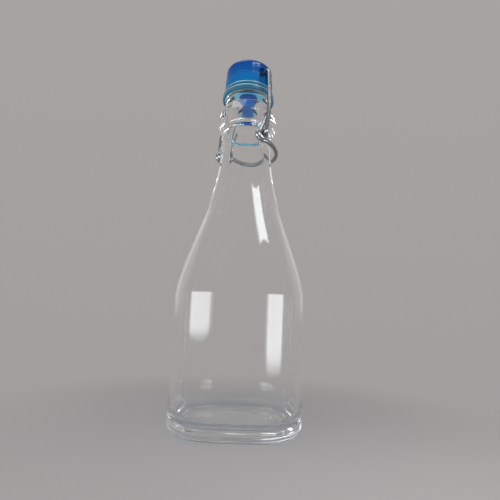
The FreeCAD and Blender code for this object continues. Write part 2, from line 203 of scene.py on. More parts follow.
def new_tree(name, inputs):
    """An empty geometry tree with a geometry input and output and further named inputs."""
    tree = bpy.data.node_groups.new(name, "GeometryNodeTree")
    tree.interface.new_socket("Geometry", in_out="INPUT", socket_type="NodeSocketGeometry")
    for label, kind in inputs:
        tree.interface.new_socket(label, in_out="INPUT", socket_type=kind)
    tree.interface.new_socket("Geometry", in_out="OUTPUT", socket_type="NodeSocketGeometry")
    return tree, tree.nodes.new("NodeGroupInput").outputs


def end_tree(tree, geometry, material):
    """The end that every tree has: real geometry with its material."""
    real = put(tree, "GeometryNodeRealizeInstances", {"Geometry": geometry}).outputs[0]
    finished = put(tree, "GeometryNodeSetMaterial", {"Geometry": real, "Material": material}).outputs[0]
    put(tree, "NodeGroupOutput", {"Geometry": finished})


def ring_sweep_tree():
    """Each point of the incoming line is a ring: its half width, half the flat of a side, and its height."""
    tree, given = new_tree("ring_sweep", [("Points Round", "NodeSocketInt"), ("Flat Turn", "NodeSocketFloat"),
                                          ("Material", "NodeSocketMaterial")])
    line = put(tree, "GeometryNodeAttributeDomainSize", {"Geometry": given["Geometry"]})
    count = line.outputs["Point Count"]
    around = math_node(tree, "ADD", given["Points Round"], 1.0)
    grid = put(tree, "GeometryNodeMeshGrid", {"Vertices X": count, "Vertices Y": around})
    uv = put(tree, "ShaderNodeSeparateXYZ", {0: grid.outputs["UV Map"]}).outputs
    last = math_node(tree, "SUBTRACT", count, 1.0)
    index = math_node(tree, "ROUND", math_node(tree, "MULTIPLY", uv["X"], last))
    angle = math_node(tree, "MULTIPLY", uv["Y"], math.tau)
    place = put(tree, "GeometryNodeInputPosition", {}).outputs[0]
    ring = put(tree, "GeometryNodeSampleIndex",
               {"Geometry": given["Geometry"], "Value": place, "Index": index}, data_type="FLOAT_VECTOR")
    half, flat, height = put(tree, "ShaderNodeSeparateXYZ", {0: ring.outputs["Value"]}).outputs
    radius = math_node(tree, "SUBTRACT", half, flat)
    low = math_node(tree, "MULTIPLY", given["Flat Turn"], -1.0)
    sides = []
    for wave in ("COSINE", "SINE"):
        turned = math_node(tree, wave, angle)
        side = put(tree, "ShaderNodeMapRange", {
            "Value": turned, "From Min": low, "From Max": given["Flat Turn"], "To Min": -1.0, "To Max": 1.0,
        }, interpolation_type="SMOOTHSTEP").outputs[0]
        on_arc = math_node(tree, "MULTIPLY", turned, radius)
        sides.append(math_node(tree, "MULTIPLY_ADD", side, flat, on_arc))
    spot = put(tree, "ShaderNodeCombineXYZ", {0: sides[0], 1: sides[1], 2: height}).outputs[0]
    skin = put(tree, "GeometryNodeSetPosition", {"Geometry": grid.outputs["Mesh"], "Position": spot})
    closed = put(tree, "GeometryNodeMergeByDistance",
                 {"Geometry": skin.outputs[0], "Distance": MERGE_REACH}).outputs[0]
    smooth = put(tree, "GeometryNodeSetShadeSmooth", {"Geometry": closed}).outputs[0]
    end_tree(tree, smooth, given["Material"])
    return tree


def shown(name, data):
    """A new object in the scene, at the origin."""
    made = bpy.data.objects.new(name, data)
    bpy.context.scene.collection.objects.link(made)
    return made


def line_mesh(name, points):
    """A mesh line through points, for a tree to work on."""
    mesh = bpy.data.meshes.new(name)
    mesh.from_pydata(points, [(i, i + 1) for i in range(len(points) - 1)], [])
    return mesh


def grown(name, mesh, tree, values):
    """The plain mesh that a tree makes of a mesh, with the tree's named inputs set."""
    made = shown(name, mesh)
    modifier = made.modifiers.new("grown", "NODES")
    modifier.node_group = tree
    for item in tree.interface.items_tree:
        if item.in_out == "INPUT" and item.name in values:
            modifier[item.identifier] = values[item.name]
    baked(made)
    made.data.materials.clear()
    made.data.materials.append(values["Material"])
    made.data.polygons.foreach_set("material_index", [0] * len(made.data.polygons))
    return made


def baked(made):
    """The object with its modifiers turned into its own plain mesh."""
    seen = made.evaluated_get(bpy.context.evaluated_depsgraph_get())
    mesh = bpy.data.meshes.new_from_object(seen)
    made.modifiers.clear()
    made.data = mesh
    mesh.name = made.name
    return made


def rod(start, end, radius, points=32):
    """A closed round bar between two places, to cut a hole with."""
    mesh = bpy.data.meshes.new("rod")
    shape = bmesh.new()
    bmesh.ops.create_cone(shape, cap_ends=True, segments=points, radius1=radius, radius2=radius,
                          depth=(end - start).length)
    turn = (end - start).to_track_quat("Z", "Y").to_matrix().to_4x4()
    shape.transform(Matrix.Translation((start + end) / 2) @ turn)
    shape.to_mesh(mesh)
    shape.free()
    return mesh


def cut(made, cutters):
    """Take the cutters' shapes out of an object and keep its round faces smooth."""
    tools = [shown("cutter", mesh) for mesh in cutters]
    for tool in tools:
        tool.data.materials.append(made.data.materials[0])
        modifier = made.modifiers.new("cut", "BOOLEAN")
        modifier.operation = "DIFFERENCE"
        modifier.solver = "EXACT"
        modifier.object = tool
    baked(made)
    for tool in tools:
        bpy.data.objects.remove(tool)
    made.data.shade_smooth()
    made.data.set_sharp_from_angle(angle=SMOOTH_ANGLE)
    return made


UNEVEN_DETAIL = 2.0


def new_material(name):
    """An empty material with a Principled shader, and its tree, shader and Object coordinates."""
    made = bpy.data.materials.new(name)
    made.use_nodes = True
    tree = made.node_tree
    shader = tree.nodes["Principled BSDF"]
    coordinates = tree.nodes.new("ShaderNodeTexCoord").outputs["Object"]
    return made, tree, shader, coordinates


def unevenness_group():
    """Soft unevenness of a moulded or blown surface: one noise as a value and a finer one as a height."""
    group = bpy.data.node_groups.new("unevenness", "ShaderNodeTree")
    group.interface.new_socket("Coordinates", in_out="INPUT", socket_type="NodeSocketVector")
    group.interface.new_socket("Scale", in_out="INPUT", socket_type="NodeSocketFloat")
    group.interface.new_socket("Fine Scale", in_out="INPUT", socket_type="NodeSocketFloat")
    group.interface.new_socket("Value", in_out="OUTPUT", socket_type="NodeSocketFloat")
    group.interface.new_socket("Height", in_out="OUTPUT", socket_type="NodeSocketFloat")
    given = group.nodes.new("NodeGroupInput").outputs
    broad = put(group, "ShaderNodeTexNoise", {"Vector": given["Coordinates"], "Scale": given["Scale"],
                                              "Detail": UNEVEN_DETAIL})
    fine = put(group, "ShaderNodeTexNoise", {"Vector": given["Coordinates"], "Scale": given["Fine Scale"],
                                             "Detail": 0.0})
    put(group, "NodeGroupOutput", {"Value": broad.outputs[0], "Height": fine.outputs[0]})
    return group


unevenness = unevenness_group()


def uneven(tree, coordinates, scale, fine_scale=0.0):
    """The unevenness group in a material, with its own scales. Gives its value and its height."""
    sockets = {"Coordinates": coordinates, "Scale": scale, "Fine Scale": fine_scale}
    node = put(tree, "ShaderNodeGroup", sockets, node_tree=unevenness)
    return node.outputs["Value"], node.outputs["Height"]


def mixed(tree, share, first, second):
    """A colour between two others, which are plain colours or outputs of other nodes."""
    mix = put(tree, "ShaderNodeMix", {"Factor": share, "A": first, "B": second}, data_type="RGBA")
    return mix.outputs["Result"]


def ranged(tree, value, low, high):
    """The share of the way that a value has gone from one limit to the other, from 0 to 1."""
    return put(tree, "ShaderNodeMapRange", {"Value": value, "From Min": low, "From Max": high}).outputs[0]


def height_above(tree, coordinates):
    """How high a place lies."""
    return put(tree, "ShaderNodeSeparateXYZ", {0: coordinates}).outputs["Z"]


def surfaced(tree, shader, value, rough, height, strength, depth):
    """Give a shader a roughness between two limits that follows a value, and a relief from a height."""
    limits = {"Value": value, "To Min": rough[0], "To Max": rough[1]}
    tree.links.new(put(tree, "ShaderNodeMapRange", limits).outputs[0], shader.inputs["Roughness"])
    relief = put(tree, "ShaderNodeBump", {"Strength": strength, "Distance": depth, "Height": height})
    tree.links.new(relief.outputs[0], shader.inputs["Normal"])


def from_axis(tree, coordinates):
    """How far a place lies from the bottle's axis."""
    flat = put(tree, "ShaderNodeVectorMath", {0: coordinates, 1: (1.0, 1.0, 0.0)}, operation="MULTIPLY")
    return put(tree, "ShaderNodeVectorMath", {0: flat.outputs[0]}, operation="LENGTH").outputs["Value"]


GLASS_CLEAR = (1.0, 1.0, 1.0, 1)
GLASS_FAINT = (0.985, 0.992, 0.993, 1)
# The heel's colour: partly the thick glass's own cooler tint, partly painted shade for the shade under the
# bottle.
GLASS_HEEL_TINT_AND_SHADE = (0.38, 0.47, 0.54, 1)
HEEL_TINT_AND_SHADE_INNER = 25.0
HEEL_TINT_AND_SHADE_OUTER = 32.0
GLASS_IOR = 1.5
GLASS_THROUGH = (0.96, 0.975, 0.98, 1)
GLASS_DEPTH = 5.0
GLASS_ROUGH = (0.0, 0.02)
GLASS_UNEVEN_SCALE = 30.0
RIPPLE_SCALE = 60.0
RIPPLE_STRETCH = (1.0, 1.0, 0.3)
RIPPLE_STRENGTH = 0.1
RIPPLE_DEPTH = 0.002


def clear_glass():
    """Clear glass with blown ripples, and in the thick heel a cooler, darker tint that is partly the glass's
    own and partly painted shade. Light goes straight through it.
    """
    made, tree, shader, coordinates = new_material("clear_glass")
    stretched = put(tree, "ShaderNodeVectorMath", {0: coordinates, 1: RIPPLE_STRETCH}, operation="MULTIPLY")
    value, height = uneven(tree, stretched.outputs[0], GLASS_UNEVEN_SCALE, RIPPLE_SCALE)
    tint = mixed(tree, value, GLASS_CLEAR, GLASS_FAINT)
    # Painted shade, partly real tint: low down near the rim of the base the glass is tinted darker and
    # cooler.
    low = ranged(tree, height_above(tree, coordinates), HEEL_ROUND * MM, 0.0)
    rim = ranged(tree, from_axis(tree, coordinates), HEEL_TINT_AND_SHADE_INNER * MM, HEEL_TINT_AND_SHADE_OUTER * MM)
    tint = mixed(tree, math_node(tree, "MULTIPLY", low, rim), tint, GLASS_HEEL_TINT_AND_SHADE)
    tree.links.new(tint, shader.inputs["Base Color"])
    surfaced(tree, shader, value, GLASS_ROUGH, height, RIPPLE_STRENGTH, RIPPLE_DEPTH)
    shader.inputs["Transmission Weight"].default_value = 1.0
    shader.inputs["IOR"].default_value = GLASS_IOR
    path = tree.nodes.new("ShaderNodeLightPath").outputs
    lighting = math_node(tree, "MAXIMUM", path["Is Shadow Ray"], path["Is Diffuse Ray"])
    deep = math_node(tree, "GREATER_THAN", path["Ray Depth"], GLASS_DEPTH)
    passing = math_node(tree, "MAXIMUM", lighting, deep)
    straight = put(tree, "ShaderNodeBsdfTransparent", {"Color": GLASS_THROUGH}).outputs[0]
    surface = put(tree, "ShaderNodeMixShader", {0: passing, 1: shader.outputs[0], 2: straight}).outputs[0]
    tree.links.new(surface, tree.nodes["Material Output"].inputs["Surface"])
    return made


ring_sweep = ring_sweep_tree()
bottle_line = line_mesh("bottle_line", [Vector(ring) * MM for ring in bottle_stations()])
bottle = grown("bottle_glass", bottle_line, ring_sweep,
               {"Points Round": BOTTLE_POINTS_ROUND, "Flat Turn": FLAT_TURN, "Material": clear_glass()})
cut(bottle, [rod(across(side * DIMPLE_FLOOR, 0, PIVOT_HEIGHT),
                 across(side * (COLLAR_RADIUS + CUT_REACH), 0, PIVOT_HEIGHT), PIN_HOLE_RADIUS * MM)
             for side in (1, -1)])
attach(bottle, "bottle")
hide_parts("bottle")

# Gasket: one soft turquoise rubber washer. It has two ridges with a groove between them, a short skirt hangs
# round the lip, and it is stretched over the stopper's plug.
GASKET_HOLE = 4.65
GASKET_RADIUS = 16.3
GASKET_TOP = 209.7
FLANGE_BOTTOM = 205.1
SKIRT_BOTTOM = 203.5
SKIRT_INSIDE = 15.8
SKIRT_OUTSIDE = 17.0
GROOVE_LOW = 207.05
GROOVE_HIGH = 207.75
GROOVE_RADIUS = 15.7
RIDGE_ROUND = 0.45
GROOVE_ROUND = 0.15
SMALL_POINTS_ROUND = 128
GASKET_ARC_STEPS = 6
# Painted light: the paler underside stands in for light coming through the thin rubber.
RUBBER_UNDER_PAINTED_LIGHT = (0.15, 0.66, 0.86, 1)
RUBBER_DEEP = (0.006, 0.065, 0.125, 1)
# Painted light: paler bands at the top edge of each ridge.
RUBBER_EDGE_PAINTED_LIGHT = (0.09, 0.27, 0.345, 1)
# Painted shade: the darker groove between the ridges.
RUBBER_GROOVE_PAINTED_SHADE = (0.005, 0.04, 0.08, 1)
RUBBER_CLOUD = (0.05, 0.24, 0.34, 1)
RUBBER_CLOUD_SHARE = 0.15
RUBBER_UNDER_LIGHT_RADIUS = 15.5
RUBBER_ROUGH = (0.25, 0.4)
RUBBER_CLOUD_SCALE = 150.0
RUBBER_GRAIN_SCALE = 1800.0
RUBBER_GRAIN_STRENGTH = 0.1
RUBBER_GRAIN_DEPTH = 0.0003
RUBBER_TRANSLUCENCE = 0.15
RUBBER_IOR = 1.42
RUBBER_SHEEN = 0.15
LOW_EDGE = 0.8
LOW_EDGE_FADE = 0.4
HIGH_EDGE = 0.7
HIGH_EDGE_FADE = 0.3
GROOVE_FADE_LOW = 0.05
GROOVE_FADE_HIGH = 0.2
# Colours by height, with painted light at the ridges' top edges and painted shade in the groove.
RUBBER_HEIGHTS_WITH_PAINTED_LIGHT = [
    (SKIRT_BOTTOM, RUBBER_DEEP),
    (GROOVE_LOW - LOW_EDGE - LOW_EDGE_FADE, RUBBER_DEEP),
    (GROOVE_LOW - LOW_EDGE, RUBBER_EDGE_PAINTED_LIGHT),
    (GROOVE_LOW - GROOVE_FADE_LOW, RUBBER_EDGE_PAINTED_LIGHT),
    (GROOVE_LOW, RUBBER_GROOVE_PAINTED_SHADE),
    (GROOVE_HIGH, RUBBER_GROOVE_PAINTED_SHADE),
    (GROOVE_HIGH + GROOVE_FADE_HIGH, RUBBER_DEEP),
    (GASKET_TOP - HIGH_EDGE - HIGH_EDGE_FADE, RUBBER_DEEP),
    (GASKET_TOP - HIGH_EDGE, RUBBER_EDGE_PAINTED_LIGHT),
    (GASKET_TOP, RUBBER_EDGE_PAINTED_LIGHT)]


def by_height(tree, coordinates, heights):
    """A colour that changes with the height: a list of heights and the colour at each, from the lowest up."""
    low, high = heights[0][0], heights[-1][0]
    share = ranged(tree, height_above(tree, coordinates), low * MM, high * MM)
    ramp = put(tree, "ShaderNodeValToRGB", {"Fac": share})
    stops = ramp.color_ramp.elements
    stops[0].color = heights[0][1]
    stops[-1].color = heights[-1][1]
    for height, colour in heights[1:-1]:
        stops.new((height - low) / (high - low)).color = colour
    return ramp.outputs["Color"]


def turquoise_rubber():
    """Translucent satin rubber with faint cloudiness and a fine moulded grain. Painted light: paler bands at
    the ridges' top edges and a paler underside; painted shade: a darker groove.
    """
    made, tree, shader, coordinates = new_material("turquoise_rubber")
    value, height = uneven(tree, coordinates, RUBBER_CLOUD_SCALE, RUBBER_GRAIN_SCALE)
    cloud = math_node(tree, "MULTIPLY", value, RUBBER_CLOUD_SHARE)
    tint = mixed(tree, cloud, by_height(tree, coordinates, RUBBER_HEIGHTS_WITH_PAINTED_LIGHT), RUBBER_CLOUD)
    # Painted light: inside the skirt the rubber is drawn paler.
    inner = ranged(tree, from_axis(tree, coordinates), SKIRT_INSIDE * MM, RUBBER_UNDER_LIGHT_RADIUS * MM)
    tree.links.new(mixed(tree, inner, tint, RUBBER_UNDER_PAINTED_LIGHT), shader.inputs["Base Color"])
    surfaced(tree, shader, value, RUBBER_ROUGH, height, RUBBER_GRAIN_STRENGTH, RUBBER_GRAIN_DEPTH)
    shader.inputs["Transmission Weight"].default_value = RUBBER_TRANSLUCENCE
    shader.inputs["IOR"].default_value = RUBBER_IOR
    shader.inputs["Specular IOR Level"].default_value = RUBBER_SHEEN
    return made


def round_line(name, outline):
    """A mesh line of round rings, one for each radius and height of an outline."""
    return line_mesh(name, [Vector((p.x, 0, p.y)) * MM for p in outline])


gasket_line = rounded([
    (GASKET_HOLE, FLANGE_BOTTOM, 0), (SKIRT_INSIDE, FLANGE_BOTTOM, RIDGE_ROUND),
    (SKIRT_INSIDE, SKIRT_BOTTOM, RIDGE_ROUND), (SKIRT_OUTSIDE, SKIRT_BOTTOM, RIDGE_ROUND),
    (SKIRT_OUTSIDE, GROOVE_LOW, RIDGE_ROUND), (GROOVE_RADIUS, GROOVE_LOW, GROOVE_ROUND),
    (GROOVE_RADIUS, GROOVE_HIGH, GROOVE_ROUND), (GASKET_RADIUS, GROOVE_HIGH, RIDGE_ROUND),
    (GASKET_RADIUS, GASKET_TOP, RIDGE_ROUND), (GASKET_HOLE, GASKET_TOP, 0)], GASKET_ARC_STEPS)
gasket_line.append(gasket_line[0])
gasket = grown("gasket_ring", round_line("gasket_line", gasket_line), ring_sweep,
               {"Points Round": SMALL_POINTS_ROUND, "Flat Turn": FLAT_TURN, "Material": turquoise_rubber()})
gasket.data.set_sharp_from_angle(angle=SMOOTH_ANGLE)
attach(gasket, "stopper")
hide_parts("gasket")

# Stopper: one moulded piece of translucent blue plastic. A two step head with a cross bore and a notch at
# each end of it for the bail, and a plug below the gasket that keeps it on.
PLUG_TIP = 196.3
PLUG_TIP_RADIUS = 4.5
PLUG_RADIUS = 5.8
PLUG_TIP_ROUND = 3.0
STEM_RADIUS = 4.6
HEAD_RADIUS = 15.8
HEAD_STEP_RADIUS = 15.3
HEAD_STEP = 217.1
HEAD_TOP = 226.1
HEAD_TOP_ROUND = 2.6
HEAD_LOW_ROUND = 0.7
STEP_ROUND = 0.4
CROSS_BORE = 217.7
NOTCH_HALF = 3.5
NOTCH_FLOOR = 13.6
NOTCH_ARC_STEPS = 16
# Painted light: the plug's tip is paler, as it looks through the collar's glass.
PLASTIC_TIP_PAINTED_LIGHT = (0.005, 0.17, 0.55, 1)
# Painted shade: the plug under the gasket is darker.
PLASTIC_PLUG_PAINTED_SHADE = (0.001, 0.03, 0.17, 1)
# Painted highlight: lighter lines along the head's lower rim and along the step edge.
PLASTIC_EDGE_PAINTED_HIGHLIGHT = (0.010, 0.13, 0.28, 1)
# Painted light: a lighter band on the head below the step.
PLASTIC_BAND_PAINTED_LIGHT = (0.001, 0.12, 0.32, 1)
# Painted shade: the head darkens towards its top.
PLASTIC_TOP_PAINTED_SHADE = (0.001, 0.036, 0.20, 1)
PLASTIC_FLOW = (0.001, 0.085, 0.30, 1)
PLASTIC_MIDDLE = (0.001, 0.07, 0.26, 1)
PLASTIC_FLOW_SHARE = 0.5
PLASTIC_ROUGH = (0.06, 0.16)
PLASTIC_FLOW_SCALE = 90.0
PLASTIC_DENT_SCALE = 500.0
PLASTIC_DENT_STRENGTH = 0.05
PLASTIC_DENT_DEPTH = 0.0004
PLASTIC_TRANSLUCENCE = 0.2
PLASTIC_IOR = 1.49
PLASTIC_SHEEN = 0.15
PLUG_FADE = 3.0
STEM_FADE = 0.5
RIM_EDGE = 0.9
RIM_EDGE_FADE = 1.1
BRIGHT_FADE = 2.5
STEP_EDGE_LOW = 0.3
STEP_EDGE_HIGH = 0.5
# Colours by height, with painted light, highlights and shade on one plastic.
PLASTIC_HEIGHTS_WITH_PAINTED_LIGHT = [
    (PLUG_TIP, PLASTIC_TIP_PAINTED_LIGHT),
    (PLUG_TIP + PLUG_FADE, PLASTIC_PLUG_PAINTED_SHADE),
    (GASKET_TOP - STEM_FADE, PLASTIC_PLUG_PAINTED_SHADE),
    (GASKET_TOP, PLASTIC_EDGE_PAINTED_HIGHLIGHT),
    (GASKET_TOP + RIM_EDGE, PLASTIC_EDGE_PAINTED_HIGHLIGHT),
    (GASKET_TOP + RIM_EDGE + RIM_EDGE_FADE, PLASTIC_BAND_PAINTED_LIGHT),
    (HEAD_STEP - BRIGHT_FADE, PLASTIC_BAND_PAINTED_LIGHT),
    (HEAD_STEP - STEP_EDGE_LOW, PLASTIC_MIDDLE),
    (HEAD_STEP, PLASTIC_EDGE_PAINTED_HIGHLIGHT),
    (HEAD_STEP + STEP_EDGE_HIGH, PLASTIC_MIDDLE),
    (HEAD_TOP - HEAD_TOP_ROUND, PLASTIC_TOP_PAINTED_SHADE),
    (HEAD_TOP, PLASTIC_TOP_PAINTED_SHADE)]


def blue_plastic():
    """Translucent glossy plastic: deep blue, brighter in flow marks, faintly uneven. Light and shade are
    painted by height: a paler plug tip, a darker plug under the gasket, highlight lines along the head's
    lower rim and the step edge, a lighter band below the step and a darker top.
    """
    made, tree, shader, coordinates = new_material("blue_plastic")
    value, height = uneven(tree, coordinates, PLASTIC_FLOW_SCALE, PLASTIC_DENT_SCALE)
    flow = math_node(tree, "MULTIPLY", value, PLASTIC_FLOW_SHARE)
    # The colour by height carries the painted light and shade; the flow marks are the plastic's own.
    tint = mixed(tree, flow, by_height(tree, coordinates, PLASTIC_HEIGHTS_WITH_PAINTED_LIGHT), PLASTIC_FLOW)
    tree.links.new(tint, shader.inputs["Base Color"])
    surfaced(tree, shader, value, PLASTIC_ROUGH, height, PLASTIC_DENT_STRENGTH, PLASTIC_DENT_DEPTH)
    shader.inputs["Transmission Weight"].default_value = PLASTIC_TRANSLUCENCE
    shader.inputs["IOR"].default_value = PLASTIC_IOR
    shader.inputs["Specular IOR Level"].default_value = PLASTIC_SHEEN
    return made


def notch_mesh(side):
    """A slot with a round top, from below the head up to the cross bore."""
    outline = [(-NOTCH_HALF, GASKET_TOP - CUT_REACH)]
    for angle in spaced(0, math.pi, NOTCH_ARC_STEPS):
        outline.append((-NOTCH_HALF * math.cos(angle), CROSS_BORE + NOTCH_HALF * math.sin(angle)))
    outline.append((NOTCH_HALF, GASKET_TOP - CUT_REACH))
    shape = bmesh.new()
    ends = []
    for reach in (NOTCH_FLOOR, HEAD_RADIUS + CUT_REACH):
        ends.append([shape.verts.new(across(side * reach, front, up)) for front, up in outline])
    shape.faces.new(ends[0])
    shape.faces.new(ends[1])
    count = len(outline)
    for i in range(count):
        k = (i + 1) % count
        shape.faces.new((ends[0][i], ends[0][k], ends[1][k], ends[1][i]))
    bmesh.ops.recalc_face_normals(shape, faces=shape.faces)
    mesh = bpy.data.meshes.new("notch")
    shape.to_mesh(mesh)
    shape.free()
    return mesh


stopper_line = rounded([
    (0, PLUG_TIP, 0), (PLUG_TIP_RADIUS, PLUG_TIP, PLUG_TIP_ROUND), (PLUG_RADIUS, FLANGE_BOTTOM, STEP_ROUND),
    (STEM_RADIUS, FLANGE_BOTTOM, 0), (STEM_RADIUS, GASKET_TOP, 0), (HEAD_RADIUS, GASKET_TOP, HEAD_LOW_ROUND),
    (HEAD_RADIUS, HEAD_STEP, STEP_ROUND), (HEAD_STEP_RADIUS, HEAD_STEP, 0),
    (HEAD_STEP_RADIUS, HEAD_TOP, HEAD_TOP_ROUND), (0, HEAD_TOP, 0)])
stopper = grown("stopper_head", round_line("stopper_line", stopper_line), ring_sweep,
                {"Points Round": SMALL_POINTS_ROUND, "Flat Turn": FLAT_TURN, "Material": blue_plastic()})
cross_reach = HEAD_RADIUS + CUT_REACH
cross_rod = rod(across(-cross_reach, 0, CROSS_BORE), across(cross_reach, 0, CROSS_BORE), PIN_HOLE_RADIUS * MM)
cut(stopper, [notch_mesh(1), notch_mesh(-1), cross_rod])
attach(stopper, "stopper")
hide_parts("stopper")

# Bail: one bright drawn steel wire. It passes through the stopper's cross bore, comes down on both sides of
# the neck, and ends in two hooks that turn in the lever's eyes.
WIRE_RADIUS = 1.25
WIRE_POINTS_ROUND = 20
EYE_FRONT = -3.5
EYE_HEIGHT = 171.7
HOOK_END = 19.9
BAIL_SIDE = 24.85
BAIL_KINK = 19.0
BAIL_TOP_SIDE = 21.0
HOOK_BEND = 1.5
BAIL_BEND = 4.0
BACK_SPLAY = 3.0
STEEL_DARK = (0.20, 0.21, 0.225, 1)
STEEL_BRIGHT = (0.40, 0.415, 0.44, 1)
STEEL_ROUGH = (0.38, 0.18)
STEEL_UNEVEN_SCALE = 120.0
STREAKS_ALONG = 60.0
STREAKS_AROUND = 40.0
STREAK_DETAIL = 3.0
STREAK_SHARE = 0.7
STREAK_STRENGTH = 0.15
STREAK_DEPTH = 0.0002


def wire_tree():
    """A round wire along the incoming line. It keeps how far along and how far round each point lies."""
    tree, given = new_tree("drawn_wire", [("Radius", "NodeSocketFloat"), ("Points Round", "NodeSocketInt"),
                                          ("Material", "NodeSocketMaterial")])
    path = put(tree, "GeometryNodeMeshToCurve", {"Mesh": given["Geometry"]}).outputs[0]
    along = put(tree, "GeometryNodeSplineParameter", {}).outputs
    path = put(tree, "GeometryNodeStoreNamedAttribute",
               {"Geometry": path, "Name": "along", "Value": along["Length"]},
               data_type="FLOAT", domain="POINT").outputs[0]
    ring = put(tree, "GeometryNodeCurvePrimitiveCircle",
               {"Resolution": given["Points Round"], "Radius": given["Radius"]})
    section = put(tree, "GeometryNodeStoreNamedAttribute",
                  {"Geometry": ring.outputs["Curve"], "Name": "around", "Value": along["Factor"]},
                  data_type="FLOAT", domain="POINT").outputs[0]
    tube = put(tree, "GeometryNodeCurveToMesh", {"Curve": path, "Profile Curve": section, "Fill Caps": True})
    smooth = put(tree, "GeometryNodeSetShadeSmooth", {"Geometry": tube.outputs[0]}).outputs[0]
    end_tree(tree, smooth, given["Material"])
    return tree


def bent(points, radii, steps=8):
    """The path of a wire along straight runs, with an arc of a given radius at each point between them."""
    path = [points[0]]
    for i, radius in enumerate(radii, start=1):
        back = (points[i - 1] - points[i]).normalized()
        ahead = (points[i + 1] - points[i]).normalized()
        half_angle = back.angle(ahead) / 2
        centre = points[i] + (back + ahead).normalized() * (radius / math.sin(half_angle))
        first = points[i] + back * (radius / math.tan(half_angle)) - centre
        last = points[i] + ahead * (radius / math.tan(half_angle)) - centre
        sweep = first.angle(last)
        axis = first.cross(last)
        for k in range(steps + 1):
            path.append(centre + Matrix.Rotation(sweep * k / steps, 3, axis) @ first)
    path.append(points[-1])
    return path


def steel_wire():
    """Drawn steel: fine streaks along the wire and some darker lengths."""
    made, tree, shader, coordinates = new_material("steel_wire")
    along = put(tree, "ShaderNodeAttribute", {}, attribute_name="along").outputs["Fac"]
    around = put(tree, "ShaderNodeAttribute", {}, attribute_name="around").outputs["Fac"]
    place = put(tree, "ShaderNodeCombineXYZ", {0: math_node(tree, "MULTIPLY", along, STREAKS_ALONG),
                                               1: math_node(tree, "MULTIPLY", around, STREAKS_AROUND)})
    streaks = put(tree, "ShaderNodeTexNoise",
                  {"Vector": place.outputs[0], "Scale": 1.0, "Detail": STREAK_DETAIL}).outputs[0]
    value, _ = uneven(tree, coordinates, STEEL_UNEVEN_SCALE)
    lengths = math_node(tree, "MULTIPLY", value, 1 - STREAK_SHARE)
    mask = math_node(tree, "MULTIPLY_ADD", streaks, STREAK_SHARE, lengths)
    tree.links.new(mixed(tree, mask, STEEL_DARK, STEEL_BRIGHT), shader.inputs["Base Color"])
    surfaced(tree, shader, mask, STEEL_ROUGH, streaks, STREAK_STRENGTH, STREAK_DEPTH)
    shader.inputs["Metallic"].default_value = 1.0
    return made


drawn_wire = wire_tree()
steel = steel_wire()
bail_rise = Vector((0, -EYE_FRONT, CROSS_BORE - EYE_HEIGHT))
bail_up = bail_rise.normalized()


def bail_half(out):
    """One side of the bail, from its hook to the cross bore, with its lower end moved out."""
    return [(HOOK_END + out, 0), (BAIL_SIDE + out, 0), (BAIL_SIDE + out, BAIL_KINK),
            (BAIL_TOP_SIDE, bail_rise.length)]


bail_corners = bail_half(0) + [(-side, up) for side, up in reversed(bail_half(BACK_SPLAY))]
bail_points = [across(side, EYE_FRONT + bail_up.y * up, EYE_HEIGHT + bail_up.z * up)
               for side, up in bail_corners]
bail_bends = [HOOK_BEND, BAIL_BEND, BAIL_BEND, BAIL_BEND, BAIL_BEND, HOOK_BEND]
bail_path = bent(bail_points, [bend * MM for bend in bail_bends])
bail = grown("bail_steel", line_mesh("bail_line", bail_path), drawn_wire,
             {"Radius": WIRE_RADIUS * MM, "Points Round": WIRE_POINTS_ROUND, "Material": steel})
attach(bail, "bail")
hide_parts("bail_wire")

# Lever: one bright drawn steel wire. Both ends turn in the collar's dimples, each side is coiled into an eye
# for the bail, and the wire between the eyes is a U round the neck, the handle.
PIN_END = 16.9
LINK_SIDE = 22.0
LINK_BEND = 2.2
EYE_RADIUS = 2.85
COIL_INNER_SIDE = 19.45
HANDLE_SIDE = 20.0
HANDLE_TURN = 0.95
HANDLE_BEND = 17.4
HANDLE_DIP = 3.0
COIL_CROSSING = math.radians(270.0)
COIL_END = math.radians(630.0)
COIL_STEPS = 40
LEAVING_STEPS = 8
HANDLE_STEPS = 24


def ease(t):
    """A share from 0 to 1 that starts and ends gently."""
    t = min(max(t, 0.0), 1.0)
    return t * t * (3 - 2 * t)


